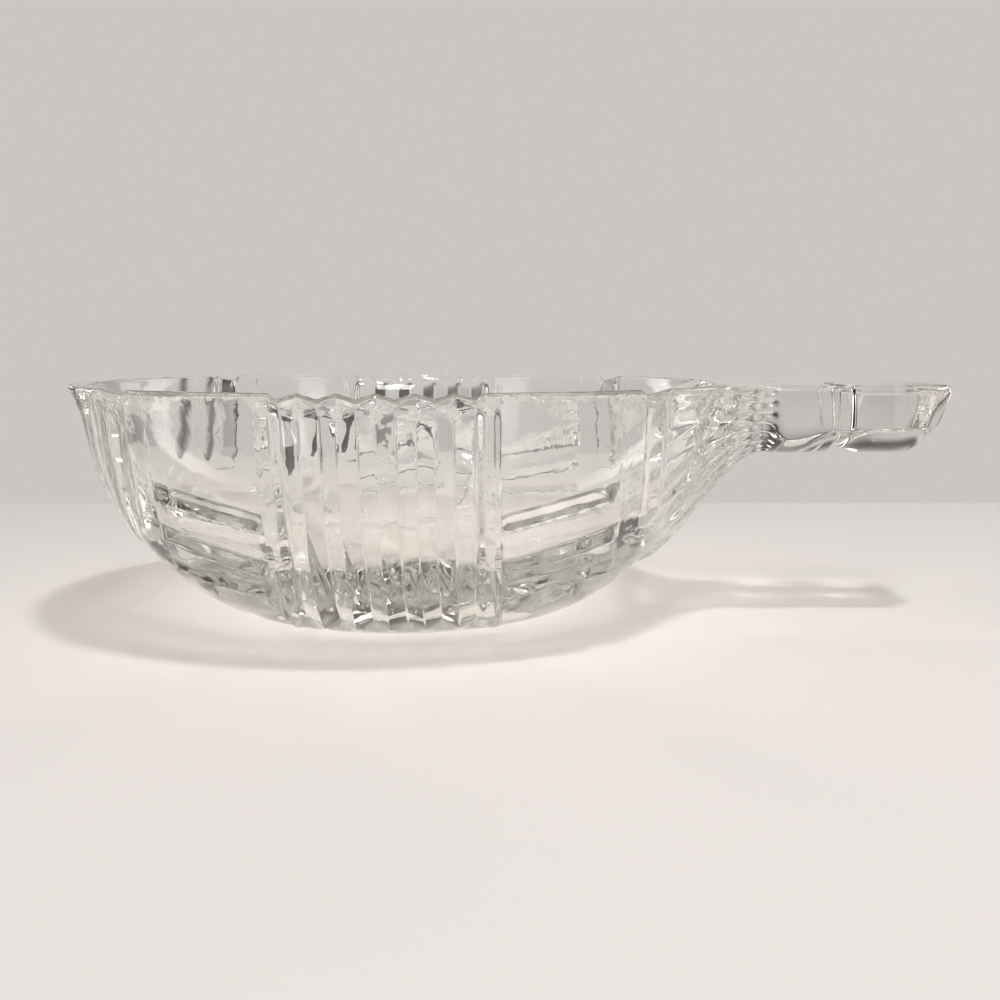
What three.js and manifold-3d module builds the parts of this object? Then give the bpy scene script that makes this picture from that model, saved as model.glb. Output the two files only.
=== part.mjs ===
// Handled serving dish in clear pressed glass: a round open bowl with one solid handle.
// Millimetres, +Z up. The dish stands on z = 0 with the bowl's axis on Z, and the handle points along +X.
// The pattern is mirrored front to back: its upright edges all lie in planes of constant x.
import * as THREE from 'three';
import { mergeVertices } from 'three/addons/utils/BufferGeometryUtils.js';
import Module from 'manifold-3d';

const wasm = await Module();
wasm.setup();
const { clamp, lerp, smoothstep } = THREE.MathUtils;

// Bowl
const BOWL_RADIUS = 65.3; // outer edge of the lip
const BOWL_HEIGHT = 46;
const BASE_RADIUS = 27.5; // flat underside
const BELLY_POWER = 1.7; // roundness of the outside, 2 is an ellipse
const LIP_HEIGHT = 4; // top of the wall, where it turns outward
const LIP_FLARE = 2.3; // how far the lip turns outward
const LIP_POWER = 1.5; // bend of the lip
const LIP_EDGE = 1.9; // glass at the very edge
const WALL = 3.8; // glass below the lip
const FLOOR = 6.5; // glass under the bowl's floor
const FLOOR_RADIUS = 22; // flat of the floor inside
const HOLLOW_POWER = 1.8; // roundness of the inside

// Base disc and the joints between neighbouring pieces
const BASE_DISC_MARGIN = 1.3; // the base disc reaches this far past the flat underside
const JOINT_GAP = 0.3;

// Upright ribs of the front and back panels, with a flat pillar at each side
const RIB_COUNT = 5;
const RIB_PITCH = 6.15;
const RIB_CREST = 0.6;
const RIB_VALLEY = -1.2; // below the plain wall
const RIB_END_HEIGHT = 1.2; // the ribs start here above the table
const RIB_RUN_OUT = 2; // and have their full height this much higher
const RIM_SCALLOP = 1.2; // the rim dips this much over each valley
const RIM_RELIEF = 0.5; // share of the pattern's relief that is left at the rim
const PILLAR_WIDTH = 3.1;
const PILLAR_FLAT = 0.6; // share of a pillar that is flat

// Stepped panels with three slanting bars each
const PANEL_WIDTH = 25.9;
const BAR_THICKNESS = 3.2;
const BAR_RELIEF = 1.6;
const BAR_END = 1.6; // round end of a bar
const BAR_START = 1.2; // from the ribs to a bar
const BAR_STOP = 4.2; // from a bar to the corner pillar
const LOW_BAR_INNER = 11; // heights of the bars at the ribs and at the corner pillars
const LOW_BAR_OUTER = 14.4;
const MIDDLE_BAR_INNER = 15.6;
const MIDDLE_BAR_OUTER = 22.2;
const TOP_BAR_INNER = 24;
const TOP_BAR_OUTER = 29.6;

// Corner pillars of the two end panels, and the ribs of the end without a handle
const CORNER_PILLAR = 4;
const CORNER_RELIEF = 0.7;
const END_RIB_PITCH = 4.8;
const END_RIB_COUNT = 2;
const END_RIB_DEPTH = 0.9;
const END_RIB_START = 6; // the end ribs fade in over this height above the table
const NOTCH_EDGE = 1; // steep side of the rim's notch at a corner pillar

// Handle
const HANDLE_LENGTH = 44.7; // from the lip to the tip
const HANDLE_WIDTH = 27;
const HANDLE_THICKNESS = 14;
const HANDLE_DROP = 0.5; // the top lies this much below the rim
const GRIP_LENGTH = 23; // from the middle of the collar groove to the tip
const GRIP_EDGE = 8.2; // upright side of the grip, above its round underside
const GRIP_WAIST = 0.55; // share of the underside's roundness that is left at the collar
const GRIP_SWELL = 8; // and it swells to all of it over this length
const GRIP_NOSE = 9; // length of the rounded end
const GRIP_NARROWING = 0.3; // share of the width that the nose loses
const NOSE_POWER = 2.5;
const NOSE_SLANT = 0.47; // the tip leans back this much for each millimetre down
const TIP_CUT = 0.02; // share of the nose that its flat end cuts off
const COLLAR_WIDTH = 3.6;
const COLLAR_DEPTH = 1.1;
const COLLAR_SLOPE = 0.6; // width of each sloping side of the collar groove
const NECK_EDGE = 10.5; // upright side where the neck leaves the flare
const FLARE_EDGE = 1.5; // upright side of the flare
const NECK_SETBACK = 1.7; // the neck's joint, outward from the lip
const NECK_START = 10.7; // outward from the lip, where the neck is a full block
const FLARE_REACH = 7.7; // outward from the lip, where the flare ends
const FLARE_ROOT = 1.625; // outward from the stepped panels, where the flare starts inside the wall
const FLARE_WIDTH = 64; // width of the flare at its root
const FLARE_DEPTH = 36.5; // depth of the flare at its root
const FLUTE_COUNT = 20;
const FLUTE_DEPTH = 0.9;
const FLUTE_RUN_IN = 8; // the flutes have their full depth this far from the flare's root

// Fineness of the facets
const WALL_STEPS = 240;
const HALVINGS = 40;
const WELD = 1e-4;
const HOLLOW_STEPS = 10;
const ROUND_STEPS = 72;
const PANEL_STEPS = 5;
const END_STEPS = 5;
const FLARE_STEPS = 7;
const NECK_STEPS = 4;
const COLLAR_STEPS = 3;
const GRIP_STEPS = 3;
const NOSE_STEPS = 6;
const BAR_ROWS = [-0.5, -0.25, 0.25, 0.5]; // across a bar, in bar thicknesses
const STEPS_UP_TO_ROW = [5, 1, 1, 1, 1, 1, 1, 1, 1, 1, 1, 1, 3, 2]; // from the underside to the rim

const SHOULDER_HEIGHT = BOWL_HEIGHT - LIP_HEIGHT;
const SHOULDER_RADIUS = BOWL_RADIUS - LIP_FLARE;
const BASE_DISC_RADIUS = BASE_RADIUS + BASE_DISC_MARGIN;
const PILLAR_X = RIB_COUNT * RIB_PITCH / 2;
const RIBS_END = PILLAR_X + PILLAR_WIDTH;
const PANEL_END = RIBS_END + PANEL_WIDTH;
const CORNER_END = PANEL_END + CORNER_PILLAR;
const END_RIBS_END = CORNER_END + END_RIB_COUNT * END_RIB_PITCH;
const BARS = [
  { inner: LOW_BAR_INNER, outer: LOW_BAR_OUTER },
  { inner: MIDDLE_BAR_INNER, outer: MIDDLE_BAR_OUTER },
  { inner: TOP_BAR_INNER, outer: TOP_BAR_OUTER },
];
const HANDLE_TOP = BOWL_HEIGHT - HANDLE_DROP;
const TIP_X = BOWL_RADIUS + HANDLE_LENGTH;
const COLLAR_X = TIP_X - GRIP_LENGTH;
const NOSE_X = TIP_X - GRIP_NOSE;
const NECK_X = BOWL_RADIUS + NECK_SETBACK;
const BLOCK_X = BOWL_RADIUS + NECK_START;
const FLARE_END_X = BOWL_RADIUS + FLARE_REACH;
const FLARE_ROOT_X = PANEL_END + FLARE_ROOT;

// A quarter of a rounded outline: 0 at the bottom middle, 1 at the top.
function roundedQuarter(height, power) {
  return Math.pow(1 - Math.pow(1 - clamp(height, 0, 1), power), 1 / power);
}

function outerRadius(z) {
  if (z <= SHOULDER_HEIGHT) {
    return BASE_RADIUS + (SHOULDER_RADIUS - BASE_RADIUS) * roundedQuarter(z / SHOULDER_HEIGHT, BELLY_POWER);
  }
  return SHOULDER_RADIUS + LIP_FLARE * Math.pow((z - SHOULDER_HEIGHT) / LIP_HEIGHT, LIP_POWER);
}

// Height at which the outside reaches a radius.
function outerHeight(radius) {
  let low = 0;
  let high = BOWL_HEIGHT;
  for (let i = 0; i < HALVINGS; i += 1) {
    const middle = (low + high) / 2;
    if (outerRadius(middle) < radius) {
      low = middle;
    } else {
      high = middle;
    }
  }
  return low;
}

function innerRadius(z) {
  const shoulder = SHOULDER_RADIUS - WALL;
  if (z <= SHOULDER_HEIGHT) {
    const height = (z - FLOOR) / (SHOULDER_HEIGHT - FLOOR);
    return FLOOR_RADIUS + (shoulder - FLOOR_RADIUS) * roundedQuarter(height, HOLLOW_POWER);
  }
  const lip = BOWL_RADIUS - LIP_EDGE - shoulder;
  return shoulder + lip * Math.pow((z - SHOULDER_HEIGHT) / LIP_HEIGHT, LIP_POWER);
}

// 0 in a valley and 1 on a crest, for upright ribs that begin with a valley at x = start.
function ribWave(x, start, pitch) {
  const share = (x - start) / pitch;
  return 1 - Math.abs(2 * (share - Math.floor(share)) - 1);
}

// The ribbed panels' wave, which ends in a flat pillar at each side.
function panelWave(side) {
  if (side < PILLAR_X) {
    return ribWave(side, -PILLAR_X, RIB_PITCH);
  }
  return Math.min(1, (side - PILLAR_X) / (PILLAR_WIDTH * (1 - PILLAR_FLAT)));
}

function barHeight(bar, x) {
  const share = clamp((Math.abs(x) - RIBS_END) / PANEL_WIDTH, 0, 1);
  return lerp(bar.inner, bar.outer, share);
}

function panelRelief(side, z) {
  const fromEnd = Math.min(side - RIBS_END - BAR_START, PANEL_END - BAR_STOP - side);
  const ends = Math.sqrt(1 - Math.pow(1 - clamp(fromEnd / BAR_END, 0, 1), 2));
  let relief = 0;
  for (const bar of BARS) {
    const off = Math.abs(z - barHeight(bar, side)) / (BAR_THICKNESS / 2);
    relief = Math.max(relief, BAR_RELIEF * ends * Math.sqrt(Math.max(0, 1 - off * off)));
  }
  return relief;
}

function ribRelief(side, z) {
  const runOut = smoothstep(z, RIB_END_HEIGHT, RIB_END_HEIGHT + RIB_RUN_OUT);
  return lerp(RIB_VALLEY, RIB_CREST, panelWave(side)) * runOut;
}

function endRelief(x, z) {
  const side = Math.abs(x);
  const fade = smoothstep(z, 0, END_RIB_START);
  if (side < CORNER_END) {
    return CORNER_RELIEF * fade * Math.min(1, 2 * ribWave(side, PANEL_END, CORNER_PILLAR));
  }
  if (x < 0 && side < END_RIBS_END) {
    return END_RIB_DEPTH * fade * ribWave(side, CORNER_END, END_RIB_PITCH);
  }
  return 0;
}

// How far the outside stands proud of the plain wall, square to it.
function relief(x, z) {
  const side = Math.abs(x);
  const lip = lerp(1, RIM_RELIEF, smoothstep(z, SHOULDER_HEIGHT, BOWL_HEIGHT));
  if (side <= RIBS_END) {
    return lip * ribRelief(side, z);
  }
  if (side <= PANEL_END) {
    return lip * panelRelief(side, z);
  }
  return lip * endRelief(x, z);
}

function rimDip(x) {
  const side = Math.abs(x);
  if (side <= RIBS_END) {
    return RIM_SCALLOP * (1 - panelWave(side));
  }
  const slope = side < PANEL_END ? NOTCH_EDGE : CORNER_PILLAR;
  return RIM_SCALLOP * Math.max(0, 1 - Math.abs(side - PANEL_END) / slope);
}

// The wall's outline at one x as points of radius and height, with the plain height that each came from.
function wallOutline(x) {
  const outline = [];
  const small = BOWL_HEIGHT / WALL_STEPS / 10;
  for (let i = 0; i <= WALL_STEPS; i += 1) {
    const plain = BOWL_HEIGHT * Math.pow(i / WALL_STEPS, 2);
    const low = Math.max(0, plain - small);
    const high = Math.min(BOWL_HEIGHT, plain + small);
    const slope = (outerRadius(high) - outerRadius(low)) / (high - low);
    const raise = relief(x, plain) / Math.hypot(1, slope);
    const dip = rimDip(x) * smoothstep(plain, SHOULDER_HEIGHT, BOWL_HEIGHT);
    outline.push({ radius: outerRadius(plain) + raise, z: plain - raise * slope - dip, plain });
  }
  return outline;
}

// The same outline cut by the plane at x: points from the middle of the underside up to the rim.
function halfSection(x) {
  const side = Math.abs(x);
  const outline = wallOutline(x);
  const points = [];
  if (outline[0].radius > side) {
    points.push({ y: 0, z: 0, plain: 0 });
  }
  for (let i = 0; i < outline.length; i += 1) {
    const here = outline[i];
    if (here.radius > side) {
      if (points.length === 0) {
        const before = outline[i - 1];
        const share = (side - before.radius) / (here.radius - before.radius);
        const z = lerp(before.z, here.z, share);
        points.push({ y: 0, z, plain: lerp(before.plain, here.plain, share) });
      }
      points.push({ y: Math.sqrt(here.radius ** 2 - side ** 2), z: here.z, plain: here.plain });
    }
  }
  return points;
}

// Heights at which the section gets a row of points, so that the facets follow the bars.
function rowHeights(x, bottom) {
  const side = Math.min(Math.abs(x), PANEL_END);
  const lowest = halfSection(side)[0].plain;
  const squeeze = (BOWL_HEIGHT - bottom) / (BOWL_HEIGHT - lowest);
  const heights = [];
  for (const bar of BARS) {
    const middle = barHeight(bar, side);
    heights.push(...BAR_ROWS.map((row) => middle + row * BAR_THICKNESS));
  }
  heights.push(SHOULDER_HEIGHT, BOWL_HEIGHT);
  return heights.map((height) => BOWL_HEIGHT - (BOWL_HEIGHT - height) * Math.min(1, squeeze));
}

// Points along the half section: rows at the given heights, and steps of equal length between them.
function resample(points, heights) {
  const along = [0];
  for (let i = 1; i < points.length; i += 1) {
    along.push(along[i - 1] + Math.hypot(points[i].y - points[i - 1].y, points[i].z - points[i - 1].z));
  }
  const placeOf = (values, value, result) => {
    let i = 1;
    while (i < values.length - 1 && values[i] < value) {
      i += 1;
    }
    const share = clamp((value - values[i - 1]) / (values[i] - values[i - 1]), 0, 1);
    return result(i, share);
  };
  const plains = points.map((point) => point.plain);
  const distanceAt = (plain) => placeOf(plains, plain, (i, share) => lerp(along[i - 1], along[i], share));
  const pointAt = (distance) => placeOf(along, distance, (i, share) => ({
    y: lerp(points[i - 1].y, points[i].y, share),
    z: lerp(points[i - 1].z, points[i].z, share),
  }));
  const rows = [pointAt(0)];
  let last = 0;
  heights.forEach((height, row) => {
    const next = distanceAt(height);
    for (let step = 1; step <= STEPS_UP_TO_ROW[row]; step += 1) {
      rows.push(pointAt(lerp(last, next, step / STEPS_UP_TO_ROW[row])));
    }
    last = next;
  });
  return rows;
}

// The filled outside of the bowl at one x: the middle of its top, then round under the bowl from the front
// rim to the back rim.
function bowlSection(x) {
  const points = halfSection(x);
  const half = resample(points, rowHeights(x, points[0].plain));
  const front = half.slice(1).reverse().map((point) => new THREE.Vector3(x, -point.y, point.z));
  const back = half.map((point) => new THREE.Vector3(x, point.y, point.z));
  return [new THREE.Vector3(x, 0, front[0].z), ...front, ...back];
}

// Closed solid through sections of equal point counts, in order along +X. Each section is a ring whose first
// point sees all the others.
function loft(sections) {
  const count = sections[0].length;
  const lastStart = (sections.length - 1) * count;
  const positions = sections.flat().flatMap((point) => [point.x, point.y, point.z]);
  const index = [];
  for (let start = 0; start < lastStart; start += count) {
    for (let i = 0; i < count; i += 1) {
      const a = start + i;
      const b = start + (i + 1) % count;
      index.push(a, b, a + count, b, b + count, a + count);
    }
  }
  for (let i = 1; i + 1 < count; i += 1) {
    index.push(0, i + 1, i);
    index.push(lastStart, lastStart + i, lastStart + i + 1);
  }
  const geometry = new THREE.BufferGeometry();
  geometry.setAttribute('position', new THREE.Float32BufferAttribute(positions, 3));
  geometry.setIndex(index);
  return solidOf(geometry);
}

function solidOf(geometry) {
  const bare = geometry.clone();
  bare.deleteAttribute('normal');
  bare.deleteAttribute('uv');
  const merged = mergeVertices(bare, WELD);
  return new wasm.Manifold(new wasm.Mesh({
    numProp: 3,
    vertProperties: new Float32Array(merged.attributes.position.array),
    triVerts: new Uint32Array(merged.index.array),
  }));
}

function geometryOf(solid) {
  const mesh = solid.getMesh();
  const geometry = new THREE.BufferGeometry();
  geometry.setAttribute('position', new THREE.Float32BufferAttribute(mesh.vertProperties, 3));
  geometry.setIndex(new THREE.Uint32BufferAttribute(mesh.triVerts, 1));
  return geometry;
}

// Solid of revolution about Z from points of radius and height.
function turned(points) {
  const geometry = new THREE.LatheGeometry(points.map(([r, z]) => new THREE.Vector2(r, z)), ROUND_STEPS);
  return solidOf(geometry.rotateX(Math.PI / 2));
}

function hollow() {
  const above = BOWL_HEIGHT;
  const points = [[0, FLOOR]];
  for (let i = 0; i <= HOLLOW_STEPS; i += 1) {
    const z = lerp(FLOOR, SHOULDER_HEIGHT, Math.pow(i / HOLLOW_STEPS, 2));
    points.push([innerRadius(z), z]);
  }
  points.push([innerRadius(SHOULDER_HEIGHT + LIP_HEIGHT / 2), SHOULDER_HEIGHT + LIP_HEIGHT / 2]);
  points.push([innerRadius(BOWL_HEIGHT), BOWL_HEIGHT]);
  points.push([innerRadius(BOWL_HEIGHT), BOWL_HEIGHT + above]);
  points.push([0, BOWL_HEIGHT + above]);
  return turned(points);
}

function baseDisc() {
  const points = [[0, 0], [BASE_RADIUS, 0]];
  points.push([BASE_DISC_RADIUS, outerHeight(BASE_DISC_RADIUS)]);
  points.push([BASE_DISC_RADIUS, BOWL_HEIGHT]);
  points.push([0, BOWL_HEIGHT]);
  return turned(points).subtract(hollow());
}

function baseDiscRoom() {
  const radius = BASE_DISC_RADIUS + JOINT_GAP;
  const geometry = new THREE.CylinderGeometry(radius, radius, 4 * BOWL_HEIGHT, ROUND_STEPS);
  return solidOf(geometry.rotateX(Math.PI / 2));
}

// Box that holds everything in front of the joint on the x axis, or behind it with side = 1.
function halfSpace(side) {
  const size = 4 * (BOWL_RADIUS + HANDLE_LENGTH);
  const geometry = new THREE.BoxGeometry(size, size, size);
  return solidOf(geometry.translate(0, side * (size + JOINT_GAP) / 2, 0));
}

function evenSteps(from, to, count) {
  return Array.from({ length: count + 1 }, (unused, i) => lerp(from, to, i / count));
}

// Places along x where the pattern's edges lie, outward from the middle of the dish
function ribStations() {
  const slope = PILLAR_WIDTH * (1 - PILLAR_FLAT);
  return [...evenSteps(0, PILLAR_X, RIB_COUNT), PILLAR_X + slope, RIBS_END - JOINT_GAP / 2];
}

function panelStations() {
  const first = RIBS_END + BAR_START;
  const last = PANEL_END - BAR_STOP;
  const bars = evenSteps(first + BAR_END, last - BAR_END, PANEL_STEPS);
  const inner = [RIBS_END + JOINT_GAP / 2, first + BAR_END / 3];
  const outer = [last - BAR_END / 3, last, PANEL_END - NOTCH_EDGE, PANEL_END - JOINT_GAP / 2];
  return [...inner, ...bars, ...outer];
}

function endStations() {
  const pillar = CORNER_PILLAR / 4;
  const last = BOWL_RADIUS - LIP_FLARE / 10;
  const corner = [PANEL_END + JOINT_GAP / 2, PANEL_END + pillar, CORNER_END - pillar];
  const ribs = evenSteps(CORNER_END, END_RIBS_END, 2 * END_RIB_COUNT);
  return [...corner, ...ribs, ...evenSteps(END_RIBS_END, last, END_STEPS).slice(1)];
}

function mirroredStations(stations) {
  return stations.map((x) => -x).reverse();
}

// Handle: its sizes at one x
function collarCut(x) {
  const fromEdge = COLLAR_WIDTH / 2 - Math.abs(x - COLLAR_X);
  return COLLAR_DEPTH * clamp(fromEdge / COLLAR_SLOPE, 0, 1);
}

// Share of the underside's roundness, which is less at the collar.
function waist(x) {
  const edge = COLLAR_WIDTH / 2;
  const before = smoothstep(x, COLLAR_X - edge, COLLAR_X);
  const after = smoothstep(x, COLLAR_X + edge, COLLAR_X + edge + GRIP_SWELL);
  return 1 - (1 - GRIP_WAIST) * (before - after);
}

function handleSize(x) {
  const nose = clamp((x - NOSE_X) / (GRIP_NOSE * (1 + TIP_CUT)), 0, 1);
  const bend = Math.pow(nose, NOSE_POWER);
  const round = Math.pow(1 - bend, 1 / NOSE_POWER);
  const flare = 1 - smoothstep(x, FLARE_ROOT_X, FLARE_END_X);
  const block = smoothstep(x, NECK_X, BLOCK_X);
  const upright = lerp(FLARE_EDGE, lerp(NECK_EDGE, GRIP_EDGE, smoothstep(x, BLOCK_X, COLLAR_X)), block);
  return {
    halfWidth: lerp(HANDLE_WIDTH, FLARE_WIDTH, flare) / 2 * (1 - GRIP_NARROWING * bend) - collarCut(x),
    bulge: (lerp(HANDLE_THICKNESS, FLARE_DEPTH, flare) - upright) * round * waist(x) - collarCut(x),
    upright,
    flute: FLUTE_DEPTH * smoothstep(x, FLARE_ROOT_X, FLARE_ROOT_X + FLUTE_RUN_IN) * (1 - block),
    slant: NOSE_SLANT * clamp((x - NOSE_X) / GRIP_NOSE, 0, 1),
  };
}

// The handle at one x: a flat top, upright sides and a round underside, which is fluted on the flare. At the
// nose the section leans back towards the bowl.
function handleSection(x) {
  const { halfWidth, bulge, upright, flute, slant } = handleSize(x);
  const place = (y, depth) => new THREE.Vector3(x - slant * depth, y, HANDLE_TOP - depth);
  const underside = evenSteps(0, Math.PI, 2 * FLUTE_COUNT).map((angle, i) => {
    const cut = i % 2 === 1 ? flute : 0;
    return place(-Math.cos(angle) * (halfWidth - cut), upright + Math.sin(angle) * (bulge - cut));
  });
  return [place(0, 0), place(-halfWidth, 0), ...underside, place(halfWidth, 0)];
}

function handleLoft(stations) {
  return loft(stations.map(handleSection));
}

function flare() {
  return handleLoft(evenSteps(FLARE_ROOT_X, NECK_X - JOINT_GAP / 2, FLARE_STEPS));
}

function neck() {
  const collar = COLLAR_X - COLLAR_WIDTH / 2;
  const plain = evenSteps(NECK_X + JOINT_GAP / 2, collar, NECK_STEPS);
  return handleLoft([...plain, ...evenSteps(collar, COLLAR_X - JOINT_GAP / 2, COLLAR_STEPS).slice(1)]);
}

function grip() {
  const collar = COLLAR_X + COLLAR_WIDTH / 2;
  const groove = evenSteps(COLLAR_X + JOINT_GAP / 2, collar, COLLAR_STEPS);
  const swell = evenSteps(collar, NOSE_X, GRIP_STEPS).slice(1);
  return handleLoft([...groove, ...swell, ...evenSteps(NOSE_X, TIP_X, NOSE_STEPS).slice(1)]);
}

const cavity = hollow();
const baseRoom = baseDiscRoom();
const front = halfSpace(-1);
const back = halfSpace(1);

function bowlSlice(stations) {
  return loft(stations.map(bowlSection)).subtract(cavity).subtract(baseRoom);
}

const glass = { color: 0xdde3df, roughness: 0.06, metalness: 0 };
const dish = new THREE.Group();
function add(name, solid) {
  const mesh = new THREE.Mesh(geometryOf(solid), new THREE.MeshStandardMaterial(glass));
  mesh.name = name;
  dish.add(mesh);
}

add('base_disc', baseDisc());

const ribs = bowlSlice([...mirroredStations(ribStations()).slice(0, -1), ...ribStations()]);
add('ribbed_panel_front', ribs.intersect(front));
add('ribbed_panel_back', ribs.intersect(back));

const rightPanels = bowlSlice(panelStations());
add('stepped_panel_front_right', rightPanels.intersect(front));
add('stepped_panel_back_right', rightPanels.intersect(back));

const leftPanels = bowlSlice(mirroredStations(panelStations()));
add('stepped_panel_front_left', leftPanels.intersect(front));
add('stepped_panel_back_left', leftPanels.intersect(back));

add('end_panel_left', bowlSlice(mirroredStations(endStations())));
add('end_panel_handle', bowlSlice(endStations()).add(flare().subtract(cavity)));
add('handle_neck', neck());
add('handle_grip', grip());

export default dish;
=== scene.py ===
"""Handled serving dish in clear pressed glass, standing on a pale table."""

import math

import bpy
import numpy as np
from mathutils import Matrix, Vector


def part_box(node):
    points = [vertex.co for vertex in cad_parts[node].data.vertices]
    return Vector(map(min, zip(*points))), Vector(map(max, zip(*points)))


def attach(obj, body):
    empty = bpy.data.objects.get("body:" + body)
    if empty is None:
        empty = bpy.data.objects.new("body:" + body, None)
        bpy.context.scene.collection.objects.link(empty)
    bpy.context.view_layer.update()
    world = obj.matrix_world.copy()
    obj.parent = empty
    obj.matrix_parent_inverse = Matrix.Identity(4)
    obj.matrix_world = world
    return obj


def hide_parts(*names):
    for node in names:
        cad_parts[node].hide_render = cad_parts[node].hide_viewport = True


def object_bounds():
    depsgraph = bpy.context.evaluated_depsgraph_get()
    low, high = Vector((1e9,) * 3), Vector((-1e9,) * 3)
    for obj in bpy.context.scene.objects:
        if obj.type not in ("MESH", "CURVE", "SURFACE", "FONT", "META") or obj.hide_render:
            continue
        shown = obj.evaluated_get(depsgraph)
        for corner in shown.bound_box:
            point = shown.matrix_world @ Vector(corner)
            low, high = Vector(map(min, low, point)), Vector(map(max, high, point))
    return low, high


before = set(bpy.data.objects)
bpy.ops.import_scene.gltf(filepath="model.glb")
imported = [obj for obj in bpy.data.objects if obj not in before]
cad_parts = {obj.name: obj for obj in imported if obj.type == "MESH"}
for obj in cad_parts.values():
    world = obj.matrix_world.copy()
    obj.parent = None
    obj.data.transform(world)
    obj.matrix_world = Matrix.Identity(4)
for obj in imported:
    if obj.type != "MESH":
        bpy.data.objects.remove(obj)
cad_low, cad_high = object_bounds()

MM = 0.001


def joint_between(inner, outer):
    """Where two neighbouring solids meet along X, in the middle of the gap between them."""
    return (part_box(inner)[1].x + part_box(outer)[0].x) / 2


# Places taken from the frame
RIBS_END = joint_between("ribbed_panel_front", "stepped_panel_front_right")
PANEL_END = joint_between("stepped_panel_front_right", "end_panel_handle")
NECK_X = joint_between("end_panel_handle", "handle_neck")
COLLAR_X = joint_between("handle_neck", "handle_grip")
TIP_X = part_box("handle_grip")[1].x
HANDLE_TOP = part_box("handle_grip")[1].z
BOWL_HEIGHT = cad_high.z
BASE_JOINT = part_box("base_disc")[1].x

# Bowl
RIM_RADIUS = 65.3 * MM
BASE_RADIUS = 27.5 * MM
BELLY_POWER = 1.7  # roundness, 2 is an ellipse
LIP_HEIGHT = 4 * MM
LIP_FLARE = 2.3 * MM
LIP_TURN = 8 * MM  # height over which the lip bends outward
LIP_POWER = 2
LIP_EDGE = 2.6 * MM
WALL = 3.2 * MM
FLOOR = 6.5 * MM
FLOOR_RADIUS = 22 * MM
HOLLOW_POWER = 1.8  # roundness, 2 is an ellipse
SHOULDER_HEIGHT = BOWL_HEIGHT - LIP_HEIGHT
SHOULDER_RADIUS = RIM_RADIUS - LIP_FLARE
LIP_TOP = HANDLE_TOP
LIP_ROUND = BOWL_HEIGHT - LIP_TOP

# Upright ribs of the front and back, with a flat pillar at each side
RIB_COUNT = 5
PILLAR_WIDTH = 3.1 * MM
PILLAR_X = RIBS_END - PILLAR_WIDTH
RIB_PITCH = 2 * PILLAR_X / RIB_COUNT
RIB_CREST = 0.6 * MM
RIB_VALLEY = -1.2 * MM
RIB_SHARPNESS = 0.999  # 1 is a knife edge
RIB_FOOT = 1.2 * MM
RIB_RUN_OUT = 2 * MM
RIM_SCALLOP = 0.9 * MM
RIM_SCALLOP_HEIGHT = 2 * MM
RIM_RELIEF = 0.1  # share of the relief that reaches the rim
RIM_FADE_START = 42 * MM
RIM_FADE_END = 43.8 * MM
PILLAR_FLAT = 0.35  # share of a pillar that is flat
PILLAR_CREST = 0.15 * MM
PILLAR_FALL = 1.4 * MM  # width of the slope from a pillar to the plain panel
PILLAR_STEPS = ((1.2 * MM, 0.2), (15.5 * MM, 0.4), (21 * MM, 0.2), (28 * MM, 0.2))
STEP_SOFTNESS = 0.5 * MM
STEP_ARCH = 0.8 * MM  # the steps lie this much lower at a pillar's sides

# Stepped panels: each bar's height at the ribs, its height at the corner pillars and its relief
BARS = ((11 * MM, 14.4 * MM, 1.4 * MM), (15.6 * MM, 22.2 * MM, 2 * MM), (24 * MM, 29.6 * MM, 2.3 * MM))
BAR_THICKNESS = 3.2 * MM
BAR_DROP = 0.7 * MM  # the crest lies this far below the middle of the bar
BAR_POWER = 1.4
BAR_FOOT = 1.3  # softness of the bar's edges, 1 is sharp
BAR_END = 1.6 * MM
BAR_START = RIBS_END + 1.2 * MM
BAR_STOP = PANEL_END - 4.2 * MM
PILLOW = 0.5 * MM  # swelling between the bars
PILLOW_END = 4 * MM

# Corner pillars of the two rounded ends, and the ribs of the end without a handle
CORNER_PILLAR = 4 * MM
CORNER_RELIEF = 1.8 * MM
CORNER_EDGE = 0.3 * MM
CORNER_LEAN = 0.9  # share of the relief that is lost on the side of the panels
CORNER_STEPS = ((20.5 * MM, 0.4), (27 * MM, 0.2), (33.5 * MM, 0.2), (38 * MM, 0.2))
NOTCH_EDGE = 1 * MM
CORNER_END = PANEL_END + CORNER_PILLAR
END_RIB_PITCH = 4.8 * MM
END_RIB_COUNT = 2
END_RIB_DEPTH = 0.55 * MM
END_RIB_RISE = 6 * MM
END_RIBS_END = CORNER_END + END_RIB_COUNT * END_RIB_PITCH

# Handle
HANDLE_WIDTH = 27 * MM
HANDLE_THICKNESS = 14 * MM
GRIP_EDGE = 8.2 * MM
GRIP_ROUND = 2 * MM
GRIP_LEAN = 1.3 * MM  # the sides lean in by this much at the top
GRIP_WAIST = 0.82  # share of the round underside that is left at the collar
GRIP_SWELL = 4.5 * MM  # and it swells to all of it over this length
GRIP_NOSE = 9 * MM
GRIP_NARROWING = 0.3  # share of the width that the nose loses
NOSE_POWER = 2.5
TIP_CUT = 0.02  # share of the nose that its flat end cuts off
TIP_ROUND = 2.5 * MM
NOSE_SLANT = 0.47  # the tip leans back this much for each unit down
NOSE_X = TIP_X - GRIP_NOSE
COLLAR_WIDTH = 3.6 * MM
COLLAR_DEPTH = 1.1 * MM
COLLAR_SLOPE = 0.8 * MM
COLLAR_TOP_SHARE = 0.5  # share of the groove's depth that the top has
NECK_EDGE = 10.5 * MM
FLARE_EDGE = 1.5 * MM
BLOCK_X = RIM_RADIUS + 10.7 * MM
FLARE_END_X = RIM_RADIUS + 7.7 * MM
FLARE_ROOT_X = RIM_RADIUS - 19.3 * MM
FLARE_WIDTH = 64 * MM
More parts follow.
